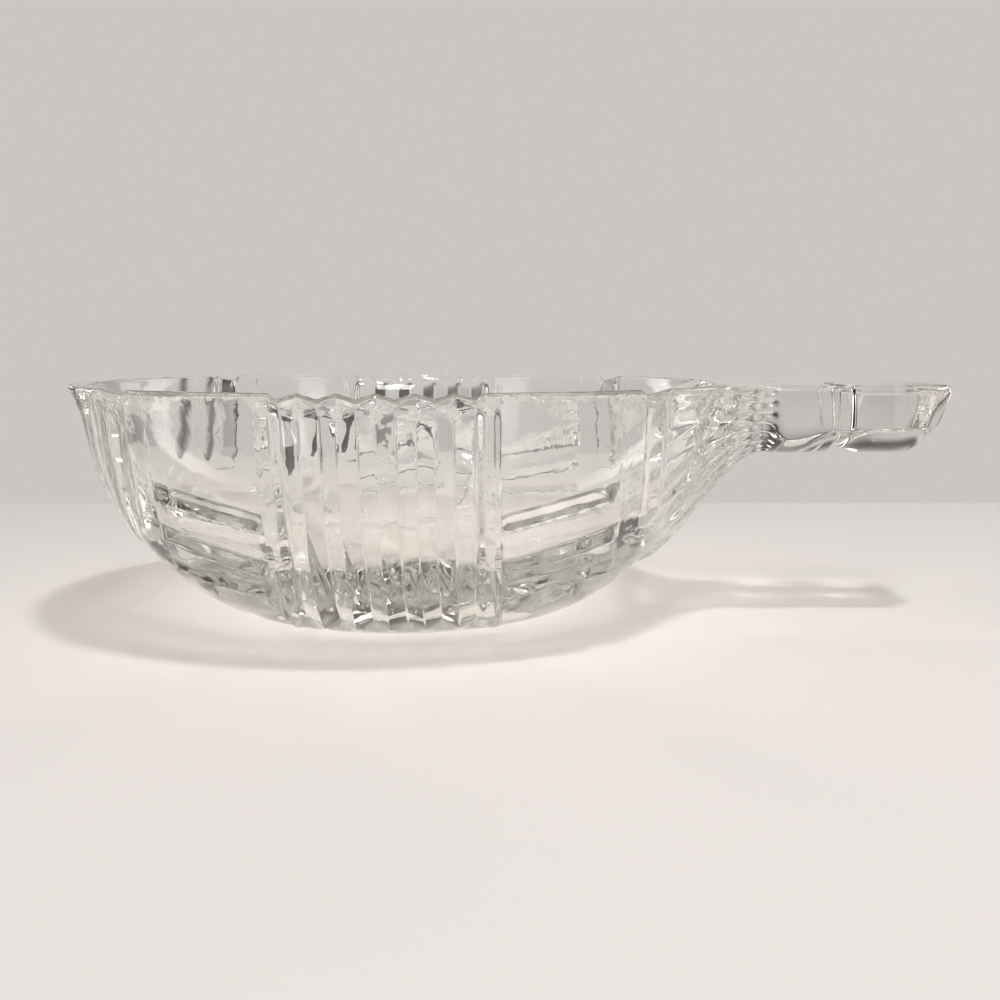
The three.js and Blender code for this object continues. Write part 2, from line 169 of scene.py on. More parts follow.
FLARE_DEPTH = 36.5 * MM
EDGE_ROUND = 1.2 * MM
WALL_FILLET = 5 * MM
FLUTE_COUNT = 20
FLUTE_DEPTH = 0.9 * MM
FLUTE_ROUNDNESS = 0.12  # 0 is sharp at the bottom
FLUTE_START_X = CORNER_END
FLUTE_RUN_IN = 2 * MM
FLUTE_END_X = RIM_RADIUS + 8.4 * MM
FLUTE_RUN_OUT = 1.5 * MM
FLUTE_TOP = 0.16  # radians below level, where the flutes have faded in
FLARE_BULGE = 0.5  # underside: 0.5 is an ellipse, 1 a parabola
GRIP_BULGE = 1

# Fineness of the meshes
OUTLINE_POINTS = 700
START_POINTS = 10
LIP_POINTS = 24
WALL_ROWS = 190
JOINT_ROWS = 4
BAR_ROW_DENSITY = 3
BAR_ROW_REACH = 0.7 * BAR_THICKNESS
LIP_ROW_DENSITY = 4
TURN_POINTS = 320
FLARE_ROWS = 200
TOP_ROWS = 12
INNER_ROWS = 80
GRIP_ROWS = 140
BASE_SEGMENTS = 240
BASE_EDGE_POINTS = 8
PROFILE_POINTS = 20000
PROFILE_STRIDE = 40
STATION_POINTS = 4000
RIB_STATIONS = 201
PANEL_STATIONS = 121
END_STATIONS = 120
PAST_RIM_STATIONS = 8
NECK_STATIONS = 90
GRIP_STATIONS = 80
WELD = 0.001 * MM
SEAM = 0.005 * MM  # half the hairline between neighbouring pieces
JOINT_TOLERANCE = 0.01 * MM
JOINT_MARK = "joint"
CREASE_ANGLE = math.radians(40)

# Where the stations along x crowd together: place, width and weight
PANEL_CROWDS = ((RIBS_END, 1.2 * MM, 3), (PANEL_END, 1.2 * MM, 3), (BASE_JOINT, 0.6 * MM, 3))
NECK_CROWDS = ((COLLAR_X, 1.8 * MM, 3), (BLOCK_X, 1 * MM, 4))
GRIP_CROWDS = ((COLLAR_X, 1.8 * MM, 3), (TIP_X, 1 * MM, 6))
END_CROWD = 0.02  # radians round the rim

# Glass: long waves and fine chill wrinkles, the shade it casts and the tone of its depth
GLASS_TINT = (0.985, 0.985, 0.975, 1)
GLASS_IOR = 1.51
WAVE_SCALE = 260
WAVE_DETAIL = 1
WAVE_STRENGTH = 0.25
WAVE_HEIGHT = 0.1 * MM
CHILL_SCALE = 900
CHILL_DETAIL = 0
CHILL_STRENGTH = 0.12
CHILL_HEIGHT = 0.03 * MM
POLISH_FINEST = 0
POLISH_DULLEST = 0.03
SHADE_FACING = (0.76, 0.76, 0.74, 1)
SHADE_SLANTING = (0.35, 0.35, 0.34, 1)
SHADE_BLEND = 0.35
DEPTH_TONE = (0.43, 0.43, 0.34, 1)
DEPTH_DENSITY = 5.8

# Table
TABLE_BACK = 170 * MM
TABLE_FRONT = -1500 * MM
TABLE_HALF = 1500 * MM
TABLE_DROP = 0.1 * MM
TABLE_TONE = (0.85, 0.8, 0.77, 1)
TABLE_ROUGHNESS = 0.7

# Room: each pair of edges is where one tone starts to turn into the next and where it has turned
WALL_TONE = (0.6, 0.565, 0.545)
CARD_TONE = (0.02, 0.02, 0.019)
STRIP_TONE = (3.4, 3.27, 3.15)
CEILING_TONE = (0.7, 0.675, 0.65)
LIGHT_TONE = (1, 0.97, 0.94)
LIGHT_STRENGTH = 0.3
CARD_COUNT = 4
CARD_EDGES = (-0.6, 0.5)
STRIP_EDGES = (0.84, 0.97)
DARK_EDGES = (0.1, 0.4)
CEILING_EDGES = (0.45, 0.75)

# Lamps: place and size in metres, and watts
LAMPS = {
    "lamp_front": ((0.1, -0.6, 0.85), 0.22, 2),
    "lamp_over": ((0.2, -0.25, 1), 0.09, 5.2),
}
LIGHT_BOUNCES = 32
CLEAR_BOUNCES = 64
GLOSS_BLUR = 0.1

# Camera
CAMERA_PLACE = (19.5 * MM, -268 * MM, 54 * MM)
CAMERA_TILT = math.radians(83.1)
CAMERA_LENS = 47.1
CAMERA_SENSOR = 36
CAMERA_NEAR = 10 * MM


def smooth(value, low, high):
    """0 below low, 1 above high, and an even curve between."""
    share = np.clip((value - low) / (high - low), 0, 1)
    return share * share * (3 - 2 * share)


def tiers(height, steps):
    """Small steps up the wall, each a place and the share of the relief that it adds."""
    return sum(share * smooth(height, place, place + STEP_SOFTNESS) for place, share in steps)


def rounded_quarter(height, power):
    """A quarter of a rounded outline: 0 at the bottom middle, 1 at the top."""
    return (1 - (1 - np.clip(height, 0, 1)) ** power) ** (1 / power)


def lip_bend(z):
    return np.clip((z - LIP_TOP) / LIP_TURN + 1, 0, 1) ** LIP_POWER


def outer_radius(z):
    belly = rounded_quarter(z / SHOULDER_HEIGHT, BELLY_POWER)
    return BASE_RADIUS + (SHOULDER_RADIUS - BASE_RADIUS) * belly + LIP_FLARE * lip_bend(z)


def inner_radius(z):
    shoulder = SHOULDER_RADIUS - WALL
    hollow = rounded_quarter((z - FLOOR) / (SHOULDER_HEIGHT - FLOOR), HOLLOW_POWER)
    flare = (RIM_RADIUS - LIP_EDGE - shoulder) * lip_bend(z)
    return FLOOR_RADIUS + (shoulder - FLOOR_RADIUS) * hollow + flare


def rib_wave(x, start, pitch):
    """Upright ribs with soft crests: 0 in the valley at x = start, and 1 on a crest."""
    turn = 2 * math.pi * ((x - start) / pitch - 0.5)
    return 0.5 + math.asin(RIB_SHARPNESS * math.cos(turn)) / (2 * math.asin(RIB_SHARPNESS))


def panel_wave(side):
    """The ribbed panels' wave, which ends in a flat pillar at each side."""
    if side < PILLAR_X:
        return rib_wave(side, -PILLAR_X, RIB_PITCH)
    return float(smooth(side - PILLAR_X, 0, PILLAR_WIDTH * (1 - PILLAR_FLAT)))


def bar_height(bar, side):
    share = min(max((side - RIBS_END) / (PANEL_END - RIBS_END), 0), 1)
    return bar[0] + (bar[1] - bar[0]) * share


def rib_relief(side, z):
    run_out = smooth(z, RIB_FOOT, RIB_FOOT + RIB_RUN_OUT)
    valley = RIB_VALLEY * run_out
    crest = RIB_CREST * run_out
    if side > PILLAR_X:
        off = 2 * (side - PILLAR_X) / PILLAR_WIDTH - 1
        crest = valley + (PILLAR_CREST - RIB_VALLEY) * tiers(z + STEP_ARCH * off * off, PILLAR_STEPS)
    return valley + (crest - valley) * panel_wave(side)


def panel_relief(side, z):
    from_end = max(min(side - BAR_START, BAR_STOP - side), 0)
    ends = math.sqrt(1 - (1 - min(from_end / BAR_END, 1)) ** 2)
    pillow_ends = math.sqrt(1 - (1 - min(from_end / PILLOW_END, 1)) ** 2)
    plain = rib_relief(RIBS_END, z) * float(1 - smooth(side, RIBS_END, RIBS_END + PILLAR_FALL))
    raised = np.zeros_like(z)
    heights = [bar_height(bar, side) for bar in BARS]
    for low, high in zip(heights, heights[1:]):
        between = np.clip((z - low) / (high - low), 0, 1)
        raised = np.maximum(raised, PILLOW * pillow_ends * np.sin(math.pi * between))
    for bar, height in zip(BARS, heights):
        above = z - height + BAR_DROP
        reach = BAR_THICKNESS / 2 + np.where(above > 0, BAR_DROP, -BAR_DROP)
        off = np.minimum(np.abs(above) / reach, 1)
        raised = np.maximum(raised, bar[2] * ends * (1 - off ** BAR_POWER) ** BAR_FOOT)
    return plain + raised


def end_relief(x, z):
    side = abs(x)
    if side < CORNER_END:
        lean = 1 - CORNER_LEAN * (CORNER_END - side) / CORNER_PILLAR
        edges = float(smooth(min(side - PANEL_END, CORNER_END - side), 0, CORNER_EDGE))
        return CORNER_RELIEF * lean * edges * tiers(z, CORNER_STEPS)
    if x < 0 and side < END_RIBS_END:
        rise = smooth(z, 0, END_RIB_RISE)
        turn = 2 * math.pi * (side - CORNER_END) / END_RIB_PITCH
        return END_RIB_DEPTH * rise * (0.5 - 0.5 * math.cos(turn))
    return np.zeros_like(z)


def relief_at(x, z):
    """How far the outside stands proud of the plain wall, square to it."""
    side = abs(x)
    at_rim = 1 - (1 - RIM_RELIEF) * smooth(z, RIM_FADE_START, RIM_FADE_END)
    if side <= RIBS_END:
        return at_rim * rib_relief(side, z)
    if side <= PANEL_END:
        return at_rim * panel_relief(side, z)
    return end_relief(x, z)


def rim_dip(x):
    side = abs(x)
    if side <= RIBS_END:
        return RIM_SCALLOP * (1 - panel_wave(side))
    slope = NOTCH_EDGE if side < PANEL_END else CORNER_PILLAR
    return RIM_SCALLOP * max(1 - abs(side - PANEL_END) / slope, 0)


def row_density(x, plain):
    """More rows of the mesh over the bars."""
    density = np.ones_like(plain)
    if RIBS_END < abs(x) < PANEL_END:
        for bar in BARS:
            near = np.abs(plain - bar_height(bar, abs(x))) < BAR_ROW_REACH
            density[near] = BAR_ROW_DENSITY
    return density


def wall_outline(x):
    """The glass wall at one x: outside, lip and inside as radius, height and row density."""
    plain = LIP_TOP * np.linspace(0, 1, OUTLINE_POINTS) ** 2
    radius = outer_radius(plain)
    slope = np.gradient(radius, plain)
    raised = relief_at(x, plain) / np.hypot(1, slope)
    outside = np.stack([radius + raised, plain - raised * slope, row_density(x, plain)], 1)
    turn = np.linspace(0, math.pi, LIP_POINTS)
    middle = RIM_RADIUS + (raised[-1] - LIP_EDGE) / 2
    reach = (LIP_EDGE + raised[-1]) / 2
    crown = LIP_TOP + LIP_ROUND * np.sin(turn)
    lip = np.stack([middle + reach * np.cos(turn), crown, np.full(LIP_POINTS, LIP_ROW_DENSITY)], 1)
    down = plain[plain > FLOOR][::-1]
    inside = np.stack([inner_radius(down), down, np.ones_like(down)], 1)
    outside = np.concatenate([[[0, 0, 1]], outside])
    inside = np.concatenate([inside[1:], [[0, FLOOR, 1]]])
    for part in (outside, lip, inside):
        part[:, 1] -= rim_dip(x) * smooth(part[:, 1], LIP_TOP - RIM_SCALLOP_HEIGHT, LIP_TOP)
    return outside, np.concatenate([lip, inside])


def beyond(points, least):
    """The stretch of an outline whose radius is over the least, cut off exactly there."""
    over = np.flatnonzero(points[:, 0] > least)
    if len(over) == 0:
        return points[:0]
    first, last = over[0], over[-1]
    kept = [points[first:last + 1]]
    if first > 0:
        kept.insert(0, crossing(points[first - 1], points[first], least))
    if last + 1 < len(points):
        kept.append(crossing(points[last + 1], points[last], least))
    return np.concatenate(kept)


def crossing(under, over, least):
    share = (least - under[0]) / (over[0] - under[0])
    return [under + (over - under) * share]


def eased_start(points):
    """The same outline with more points in its first stretch, closer and closer to its start."""
    if len(points) < 2:
        return points
    shares = np.linspace(0, 1, START_POINTS)[:-1, None] ** 2
    return np.concatenate([points[0] + (points[1] - points[0]) * shares, points[1:]])


def section(x, joint_radius=0):
    """The wall cut by the plane at x, as y, z and row density: the outside, then lip and inside."""
    least = max(abs(x), joint_radius)
    outside, inside = (beyond(points, least) for points in wall_outline(x))
    halves = [eased_start(outside), eased_start(inside[::-1])[::-1]]
    for points in halves:
        points[:, 0] = np.sqrt(np.maximum(points[:, 0] ** 2 - x * x, 0))
    return halves


def even_rows(points, count):
    """The polyline as a number of rows, closer together where the density is high."""
    density = (points[1:, 2] + points[:-1, 2]) / 2
    lengths = np.hypot(np.diff(points[:, 0]), np.diff(points[:, 1])) * density
    along = np.concatenate([[0], np.cumsum(lengths)])
    if along[-1] < WELD:
        return np.repeat(points[:1, :2], count, 0)
    at = np.linspace(0, along[-1], count)
    return np.stack([np.interp(at, along, points[:, k]) for k in range(2)], 1)


def on_plane(x, rows):
    return np.column_stack([np.full(len(rows), x), rows])


def panel_ring(x, side):
    """Ring of a front (side -1) or back (side 1) panel: up the outside and down the inside."""
    outside, inside = section(x, BASE_JOINT + SEAM)
    wall = even_rows(np.concatenate([outside, inside[1:]]), WALL_ROWS)
    back = np.linspace(wall[-1], wall[0], JOINT_ROWS)[1:]
    ring = np.concatenate([wall, back])
    ring[:, 0] = np.maximum(ring[:, 0], SEAM)
    return on_plane(x, ring * (side, 1))


def two_halves(x, half):
    """Ring made of the front half and then the back half, each from the underside to the inside."""
    return on_plane(x, np.concatenate([half * (-1, 1), half[::-1], half[:1] * (-1, 1)]))


def collar_cut(x):
    from_edge = COLLAR_WIDTH / 2 - abs(x - COLLAR_X)
    return COLLAR_DEPTH * float(smooth(from_edge, 0, COLLAR_SLOPE))


def waist(x):
    """Share of the handle's round underside, which is less at the collar."""
    edge = COLLAR_WIDTH / 2
    before = smooth(x, COLLAR_X - edge, COLLAR_X)
    after = smooth(x, COLLAR_X + edge, COLLAR_X + edge + GRIP_SWELL)
    return 1 - (1 - GRIP_WAIST) * float(before - after)


def handle_outline(x):
    """The handle at one x without its flutes: y and depth below the top, from side to middle."""
    nose = min(max((x - NOSE_X) / (GRIP_NOSE * (1 + TIP_CUT)), 0), 1)
    bend = nose ** NOSE_POWER
    round_end = (1 - bend) ** (1 / NOSE_POWER)
    flare = 1 - float(smooth(x, FLARE_ROOT_X, FLARE_END_X))
    block = float(smooth(x, NECK_X, BLOCK_X))
    neck_edge = NECK_EDGE + (GRIP_EDGE - NECK_EDGE) * float(smooth(x, BLOCK_X, COLLAR_X))
    upright = FLARE_EDGE + (neck_edge - FLARE_EDGE) * block
    width = HANDLE_WIDTH + (FLARE_WIDTH - HANDLE_WIDTH) * flare
    half_width = width / 2 * (1 - GRIP_NARROWING * bend) - collar_cut(x)
    thickness = HANDLE_THICKNESS + (FLARE_DEPTH - HANDLE_THICKNESS) * flare
    depth = upright + (thickness - upright) * round_end * waist(x) - collar_cut(x)
    turn = np.linspace(0, math.pi / 2, TURN_POINTS)
    y = half_width * np.cos(turn)
    under = (1 - (y / half_width) ** 2) ** (FLARE_BULGE + (GRIP_BULGE - FLARE_BULGE) * block)
    points = np.stack([y, upright + (depth - upright) * under], 1)
    lean = GRIP_LEAN * float(smooth(x, COLLAR_X, COLLAR_X + COLLAR_WIDTH)) * round_end
    return np.concatenate([[[half_width - lean, 0]], points])


def reach_of(points, angles):
    """Distance from the middle of the handle's top to an outline, at each angle below level."""
    turn = np.arctan2(points[:, 1], points[:, 0])
    return np.interp(angles, turn, np.hypot(points[:, 0], points[:, 1]))


def smooth_max(a, b, width):
    return np.maximum(a, b) + np.maximum(width - np.abs(a - b), 0) ** 2 / (4 * width)


def handle_top(x):
    return HANDLE_TOP - COLLAR_TOP_SHARE * collar_cut(x)


def flared_outline(x, wall):
    """Outside of the handle at one x, run into the bowl's wall: y, z and density from below up."""
    rim = math.atan2(HANDLE_TOP - wall[-1, 1], wall[-1, 0]) if len(wall) > 1 else 0
    angles = rim + (math.pi / 2 - rim) * np.linspace(1, 0, TURN_POINTS) ** 2
    reach = reach_of(handle_outline(x), angles)
    if len(wall) > 1:
        of_wall = np.stack([wall[::-1, 0], HANDLE_TOP - wall[::-1, 1]], 1)
        fillet = WALL_FILLET * float(smooth(x, FLARE_ROOT_X, RIM_RADIUS - LIP_FLARE)) + WELD
        reach = smooth_max(reach, reach_of(of_wall, angles), fillet)
    run_in = smooth(x, FLUTE_START_X, FLUTE_START_X + FLUTE_RUN_IN)
    run_out = 1 - smooth(x, FLUTE_END_X - FLUTE_RUN_OUT, FLUTE_END_X)
    reeds = np.sqrt(np.cos(FLUTE_COUNT * angles) ** 2 + FLUTE_ROUNDNESS) - 1
    reach += FLUTE_DEPTH * run_in * run_out * reeds * smooth(angles, 0, FLUTE_TOP)
    y = reach * np.cos(angles)
    depth = reach * np.sin(angles)
    edge = EDGE_ROUND + (GRIP_ROUND - EDGE_ROUND) * float(smooth(x, COLLAR_X, COLLAR_X + COLLAR_WIDTH))
    if len(wall) > 1:
        edge = min(edge, max(y[-1] - wall[-1, 0], WELD))
    y -= edge * (1 - np.sqrt(1 - np.clip(1 - depth / edge, 0, 1) ** 2))
    return np.stack([y, handle_top(x) - depth, np.ones_like(y)], 1)


def strip(start, end, count):
    return np.linspace(start[:2], end[:2], count)


def end_ring(x, handle):
    """Ring of a rounded end of the bowl, with the handle's flare on it where there is one."""
    outside, inside = section(x)
    if handle and x > FLARE_ROOT_X:
        outside = flared_outline(x, outside)
    if len(inside) < 2:
        inside = np.array([[0, handle_top(x) if handle else HANDLE_TOP, 1]] * 2)
    if len(outside) < 2:
        outside = inside
    half = [even_rows(outside, FLARE_ROWS)]
    half.append(strip(outside[-1], inside[0], TOP_ROWS)[1:-1])
    half.append(even_rows(inside, INNER_ROWS))
    return two_halves(x, np.concatenate(half))


def handle_ring(x):
    """Ring of the neck or the grip: the outside, then the flat top to its middle."""
    outside = flared_outline(x, [])
    tip = min(max((x - TIP_X + TIP_ROUND) / TIP_ROUND, 0), 1)
    inset = TIP_ROUND * (1 - math.sqrt(1 - tip * tip))
    outside[:, 0] = np.maximum(outside[:, 0] - inset * outside[:, 0] / outside[:, 0].max(), 0)
    low, high = outside[:, 1].min(), outside[:, 1].max()
    middle = (low + high) / 2
    outside[:, 1] = middle + (outside[:, 1] - middle) * (1 - 2 * inset / (high - low))
    top = [0, outside[-1, 1]]
    half = [even_rows(outside, GRIP_ROWS), strip(outside[-1], top, TOP_ROWS)[1:]]
    ring = two_halves(x, np.concatenate(half))
    slant = NOSE_SLANT * min(max((x - NOSE_X) / GRIP_NOSE, 0), 1)
    ring[:, 0] -= slant * (high - ring[:, 2])
    return ring


def stations(start, end, count, crowded):
    """Places along x, closer together around the given places, each with a width and a weight."""
    fine = np.linspace(start, end, STATION_POINTS)
    density = np.ones_like(fine)
    for place, width, weight in crowded:
        density += weight * np.exp(-((fine - place) / width) ** 2)
    along = np.concatenate([[0], np.cumsum((density[1:] + density[:-1]) / 2)])
    return np.interp(np.linspace(0, along[-1], count), along, fine)


def rounded_stations(count):
    """Places along x from the corner of the panels to the outermost point of the rim."""
    last = math.acos((PANEL_END + SEAM) / RIM_RADIUS)
    shoulder = math.acos(SHOULDER_RADIUS / RIM_RADIUS)
    hollow = math.acos((SHOULDER_RADIUS - WALL) / RIM_RADIUS)
    edge = math.acos((RIM_RADIUS - LIP_EDGE) / RIM_RADIUS)
    weights = ((shoulder, 4), (hollow, 4), (edge, 2), (last, 1))
    turn = stations(last, 0, count, [(place, END_CROWD, weight) for place, weight in weights])
    return RIM_RADIUS * np.cos(turn)


def pressed_piece(name, node, rings):
    """A grid laid round the rings, closed along its seam and at its two ends."""
    rings = np.array(rings)
    bpy.ops.object.select_all(action="DESELECT")
    across, around = rings.shape[1] - 1, rings.shape[0] - 1
    bpy.ops.mesh.primitive_grid_add(x_subdivisions=across, y_subdivisions=around)
    piece = bpy.context.object
    piece.name = name
    piece.data.name = name
    piece.data.vertices.foreach_set("co", rings.ravel())
    piece.data.update()
    bpy.ops.object.mode_set(mode="EDIT")
    bpy.ops.mesh.select_all(action="SELECT")
    bpy.ops.mesh.remove_doubles(threshold=WELD)
    bpy.ops.mesh.select_all(action="DESELECT")
    bpy.ops.mesh.select_non_manifold()
    bpy.ops.mesh.fill_holes(sides=0)
    bpy.ops.mesh.select_all(action="SELECT")
    bpy.ops.mesh.normals_make_consistent(inside=False)
    bpy.ops.object.mode_set(mode="OBJECT")
    finish_glass(piece, node)


def turned_base():
    """The middle of the dish: a profile spun round the axis."""
    rim = np.linspace(BASE_RADIUS, BASE_JOINT, BASE_EDGE_POINTS)[1:]
    heights = np.linspace(0, BOWL_HEIGHT, PROFILE_POINTS)
    under = np.stack([rim, np.interp(rim, outer_radius(heights), heights)], 1)
    over_floor = heights[heights > FLOOR]
    floor_edge = np.interp(BASE_JOINT, inner_radius(over_floor), over_floor)
    hollow = over_floor[inner_radius(over_floor) < BASE_JOINT][::-PROFILE_STRIDE]
    inside = np.stack([inner_radius(hollow), hollow], 1)
    profile = np.concatenate([
        [[0, 0], [BASE_RADIUS, 0]],
        under,
        [[BASE_JOINT, floor_edge]],
        inside,
        [[FLOOR_RADIUS, FLOOR], [0, FLOOR]],
    ])
    bpy.ops.object.select_all(action="DESELECT")
    bpy.ops.mesh.primitive_grid_add(x_subdivisions=len(profile) - 1, y_subdivisions=1)
    piece = bpy.context.object
    piece.name = "pressed_base"
    piece.data.name = piece.name
    bpy.ops.object.mode_set(mode="EDIT")
    bpy.ops.mesh.select_all(action="DESELECT")
    bpy.ops.object.mode_set(mode="OBJECT")
    for vertex in piece.data.vertices:
        vertex.select = vertex.index >= len(profile)
    bpy.ops.object.mode_set(mode="EDIT")
    bpy.ops.mesh.delete(type="VERT")
    bpy.ops.object.mode_set(mode="OBJECT")
    places = np.column_stack([profile[:, 0], np.zeros(len(profile)), profile[:, 1]])
    piece.data.vertices.foreach_set("co", places.ravel())
    bpy.ops.object.mode_set(mode="EDIT")
    bpy.ops.mesh.select_all(action="SELECT")
    bpy.ops.mesh.spin(steps=BASE_SEGMENTS, angle=2 * math.pi, center=(0, 0, 0), axis=(0, 0, 1))
    bpy.ops.mesh.select_all(action="SELECT")
    bpy.ops.mesh.remove_doubles(threshold=WELD)
    bpy.ops.mesh.normals_make_consistent(inside=False)
    bpy.ops.object.mode_set(mode="OBJECT")
    finish_glass(piece, "base_disc")


def finish_glass(piece, node):
    """Smooth faces, clear glass all over and an unseen joint wherever the piece meets its neighbours."""
    bpy.ops.object.shade_smooth_by_angle(angle=CREASE_ANGLE)
    piece.data.materials.append(clear_glass)
    places = np.empty(3 * len(piece.data.vertices))
    piece.data.vertices.foreach_get("co", places)
    x, y, _ = places.reshape(-1, 3).T
    joints = (-PANEL_END, -RIBS_END, RIBS_END, PANEL_END, NECK_X, COLLAR_X)
    seams = [np.abs(x - place) for place in joints]
    seams.append(np.abs(np.hypot(x, y) - BASE_JOINT))
    if "stepped" in node:
        seams.append(np.abs(y))
    on_seam = [seam < JOINT_TOLERANCE for seam in seams]
    runs_on = []
    for face in piece.data.polygons:
        corners = list(face.vertices)
        runs_on.append(float(any(marks[corners].all() for marks in on_seam)))
    piece.data.attributes.new(JOINT_MARK, "FLOAT", "FACE").data.foreach_set("value", runs_on)
    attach(piece, "root")
    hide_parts(node)


def node_material(name):
    material = bpy.data.materials.new(name)
    material.use_nodes = True
    material.node_tree.nodes.clear()
    output = material.node_tree.nodes.new("ShaderNodeOutputMaterial")
    return material, material.node_tree.nodes, material.node_tree.links, output


def make_clear_glass():
    """Old soda glass: clear with a breath of grey green, fire polished, with a faint unevenness."""
    material, nodes, links, output = node_material("clear_pressed_glass")
    glass = nodes.new("ShaderNodeBsdfPrincipled")
    glass.inputs["Base Color"].default_value = GLASS_TINT
    glass.inputs["Transmission Weight"].default_value = 1
    glass.inputs["IOR"].default_value = GLASS_IOR
    place = nodes.new("ShaderNodeTexCoord")
    waves = nodes.new("ShaderNodeTexNoise")
    waves.inputs["Scale"].default_value = WAVE_SCALE
    waves.inputs["Detail"].default_value = WAVE_DETAIL
    chill = nodes.new("ShaderNodeTexNoise")
    chill.inputs["Scale"].default_value = CHILL_SCALE
    chill.inputs["Detail"].default_value = CHILL_DETAIL
    wrinkles = nodes.new("ShaderNodeBump")
    wrinkles.inputs["Strength"].default_value = CHILL_STRENGTH
    wrinkles.inputs["Distance"].default_value = CHILL_HEIGHT
    bump = nodes.new("ShaderNodeBump")
    bump.inputs["Strength"].default_value = WAVE_STRENGTH
    bump.inputs["Distance"].default_value = WAVE_HEIGHT
    polish = nodes.new("ShaderNodeMapRange")
    polish.inputs["To Min"].default_value = POLISH_FINEST
    polish.inputs["To Max"].default_value = POLISH_DULLEST
    links.new(place.outputs["Object"], waves.inputs["Vector"])
    links.new(place.outputs["Object"], chill.inputs["Vector"])
    links.new(chill.outputs["Fac"], wrinkles.inputs["Height"])
    links.new(wrinkles.outputs["Normal"], bump.inputs["Normal"])
    links.new(waves.outputs["Fac"], bump.inputs["Height"])
    links.new(waves.outputs["Fac"], polish.inputs["Value"])
    links.new(polish.outputs["Result"], glass.inputs["Roughness"])
    links.new(bump.outputs["Normal"], glass.inputs["Normal"])
    path = nodes.new("ShaderNodeLightPath")
    slope = nodes.new("ShaderNodeLayerWeight")
    slope.inputs["Blend"].default_value = SHADE_BLEND
    shade = nodes.new("ShaderNodeMix")
    shade.data_type = "RGBA"
    shade.inputs["A"].default_value = SHADE_FACING
    shade.inputs["B"].default_value = SHADE_SLANTING
    lamplight = nodes.new("ShaderNodeBsdfTransparent")
    choose = nodes.new("ShaderNodeMixShader")
    links.new(slope.outputs["Facing"], shade.inputs["Factor"])
    links.new(shade.outputs["Result"], lamplight.inputs["Color"])
    links.new(path.outputs["Is Shadow Ray"], choose.inputs["Fac"])
    links.new(glass.outputs["BSDF"], choose.inputs[1])
    links.new(lamplight.outputs["BSDF"], choose.inputs[2])
    joint = nodes.new("ShaderNodeAttribute")
    joint.attribute_name = JOINT_MARK
    through = nodes.new("ShaderNodeBsdfTransparent")
    surface = nodes.new("ShaderNodeMixShader")
    links.new(joint.outputs["Fac"], surface.inputs["Fac"])
    links.new(choose.outputs["Shader"], surface.inputs[1])
    links.new(through.outputs["BSDF"], surface.inputs[2])
    links.new(surface.outputs["Shader"], output.inputs["Surface"])
    body = nodes.new("ShaderNodeVolumeAbsorption")
    body.inputs["Color"].default_value = DEPTH_TONE
    body.inputs["Density"].default_value = DEPTH_DENSITY
    links.new(body.outputs["Volume"], output.inputs["Volume"])
    return material


def make_dish():
    turned_base()
    rib_places = stations(-RIBS_END + SEAM, RIBS_END - SEAM, RIB_STATIONS, ())
    right_places = stations(RIBS_END + SEAM, PANEL_END - SEAM, PANEL_STATIONS, PANEL_CROWDS)
    left_places = -right_places[::-1]
    end_places = rounded_stations(END_STATIONS)
    for side, face in ((-1, "front"), (1, "back")):
        rings = [panel_ring(x, side) for x in rib_places]
        pressed_piece("pressed_ribs_" + face, "ribbed_panel_" + face, rings)
        rings = [panel_ring(x, side) for x in right_places]
        pressed_piece("pressed_steps_" + face + "_right", "stepped_panel_" + face + "_right", rings)
        rings = [panel_ring(x, side) for x in left_places]
        pressed_piece("pressed_steps_" + face + "_left", "stepped_panel_" + face + "_left", rings)
    rings = [end_ring(-x, False) for x in end_places]
    pressed_piece("pressed_end_left", "end_panel_left", rings)
    past_rim = np.linspace(RIM_RADIUS, NECK_X - SEAM, PAST_RIM_STATIONS)[1:]
    rings = [end_ring(x, True) for x in np.concatenate([end_places, past_rim])]
    pressed_piece("pressed_end_handle", "end_panel_handle", rings)
    neck_places = stations(NECK_X + SEAM, COLLAR_X - SEAM, NECK_STATIONS, NECK_CROWDS)
    rings = [handle_ring(x) for x in neck_places]
    pressed_piece("pressed_neck", "handle_neck", rings)
    grip_places = stations(COLLAR_X + SEAM, TIP_X, GRIP_STATIONS, GRIP_CROWDS)
    rings = [handle_ring(x) for x in grip_places]
    pressed_piece("pressed_grip", "handle_grip", rings)


def make_table():
    material, nodes, links, output = node_material("pale_table")
    top = nodes.new("ShaderNodeBsdfPrincipled")
    top.inputs["Base Color"].default_value = TABLE_TONE
    top.inputs["Roughness"].default_value = TABLE_ROUGHNESS
    links.new(top.outputs["BSDF"], output.inputs["Surface"])
    bpy.ops.object.select_all(action="DESELECT")
    bpy.ops.mesh.primitive_plane_add(size=1)
    table = bpy.context.object
    table.name = "table"
    low, high = TABLE_FRONT, TABLE_BACK
    corners = [(-TABLE_HALF, low), (TABLE_HALF, low), (-TABLE_HALF, high), (TABLE_HALF, high)]
    for vertex, (x, y) in zip(table.data.vertices, corners):
        vertex.co = (x, y, -TABLE_DROP)
    table.data.materials.append(material)


